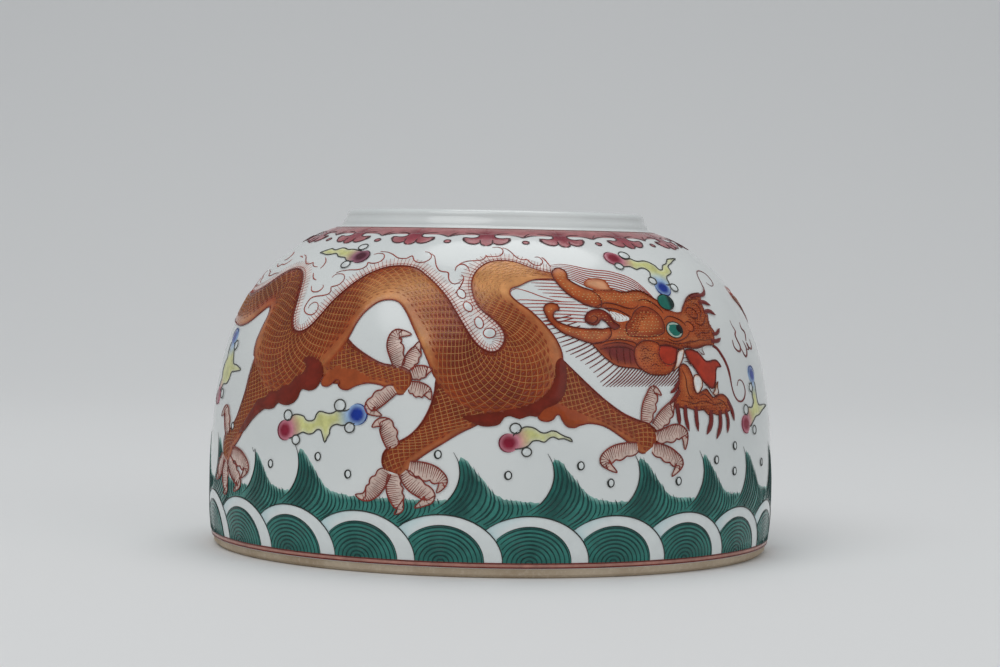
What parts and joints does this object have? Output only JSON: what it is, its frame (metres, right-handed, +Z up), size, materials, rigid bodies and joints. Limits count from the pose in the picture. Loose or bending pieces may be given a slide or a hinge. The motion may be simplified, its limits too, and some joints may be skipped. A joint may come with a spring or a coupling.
{
  "type": "brush washer",
  "caption": "Low domed porcelain jar with a short collar round a wide mouth, to hold water for rinsing writing brushes.",
  "frame": {"origin": "centre of the foot ring on the surface that the washer stands on", "axes": "+Z up along the axis of the mouth, -Y towards the front of the decoration"},
  "size_m": [0.1206, 0.1206, 0.0713],
  "materials": {
    "bare_paste": "unglazed, smooth matt",
    "white_glaze": "glossy clear glaze, faintly blue-grey",
    "iron_red": "thin satin enamel",
    "sea_green": "glossy translucent enamel",
    "black_line": "fine satin enamel line",
    "cloud_yellow": "glossy translucent enamel",
    "cloud_blue": "glossy translucent enamel",
    "scale_gold": "fine satin line, dull gold",
    "puce_enamel": "glossy enamel"
  },
  "bodies": {
    "root": {"porcelain_body": "bare_paste", "outer_glaze": "white_glaze", "inner_glaze": "white_glaze", "base_glaze": "white_glaze", "foot_line_lower": "iron_red", "foot_line_upper": "iron_red", "neck_line": "iron_red", "shoulder_band": "puce_enamel", "wave_mounds": "sea_green", "sea_band": "sea_green", "dragon_front": "iron_red", "dragon_back": "iron_red", "cloud_01": "cloud_yellow", "cloud_02": "cloud_yellow", "cloud_03": "cloud_yellow", "cloud_04": "cloud_yellow", "cloud_05": "cloud_yellow", "cloud_06": "cloud_yellow", "cloud_07": "cloud_yellow", "cloud_08": "cloud_yellow", "cloud_09": "cloud_yellow", "cloud_10": "cloud_yellow", "cloud_11": "cloud_yellow", "cloud_12": "cloud_yellow"}
  },
  "joints": []
}
